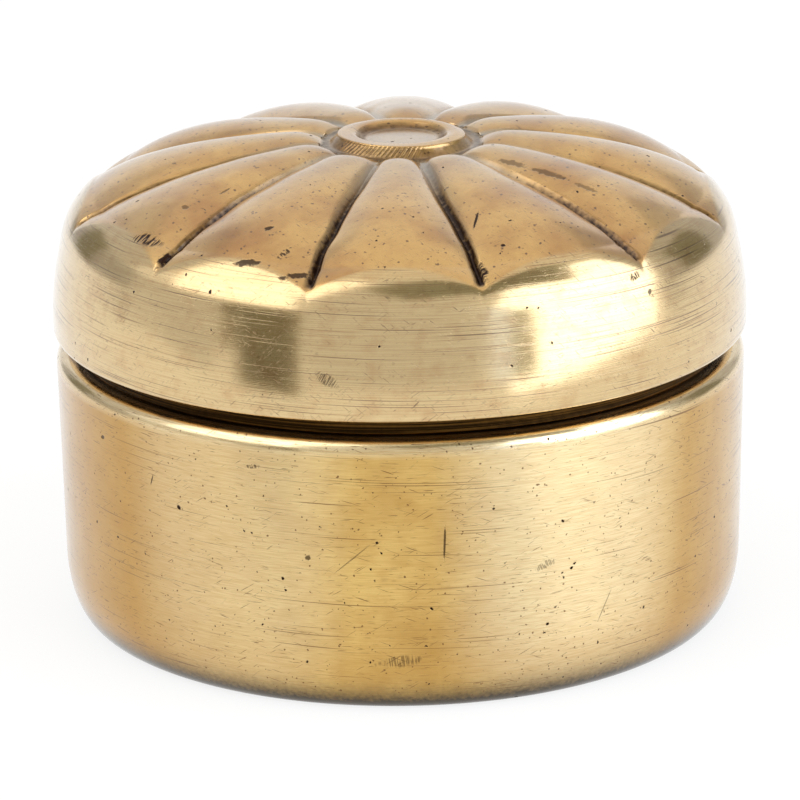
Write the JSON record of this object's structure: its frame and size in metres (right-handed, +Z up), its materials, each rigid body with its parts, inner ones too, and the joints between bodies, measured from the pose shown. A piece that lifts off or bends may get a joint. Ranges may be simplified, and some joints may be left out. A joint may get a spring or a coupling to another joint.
{
  "type": "lidded storage pot",
  "caption": "Round cast-brass storage pot with a rounded foot, a turned neck and a lift-off lid whose dome is fluted into petals round a small ring boss.",
  "frame": {"origin": "centre of the flat underside", "axes": "+Z up along the pot's and the lid's shared axis, towards the lid's boss; -Y is the front, which the lid's front petal faces"},
  "size_m": [0.1006, 0.1006, 0.0703],
  "materials": {
    "turned_brass": "satin, turned, with fine scratches round the wall, small casting pits and a darker foot",
    "rubbed_brass": "hand-polished band under warm brown petals, with dark patina left in the grooves"
  },
  "bodies": {
    "pot": {"pot_body": "turned_brass"},
    "lid": {"lid": "rubbed_brass"}
  },
  "joints": [
    {"name": "lid_lift", "type": "slide", "parent": "pot", "child": "lid", "axis": [0, 0, 1], "range_m": [0, 0.05]}
  ]
}
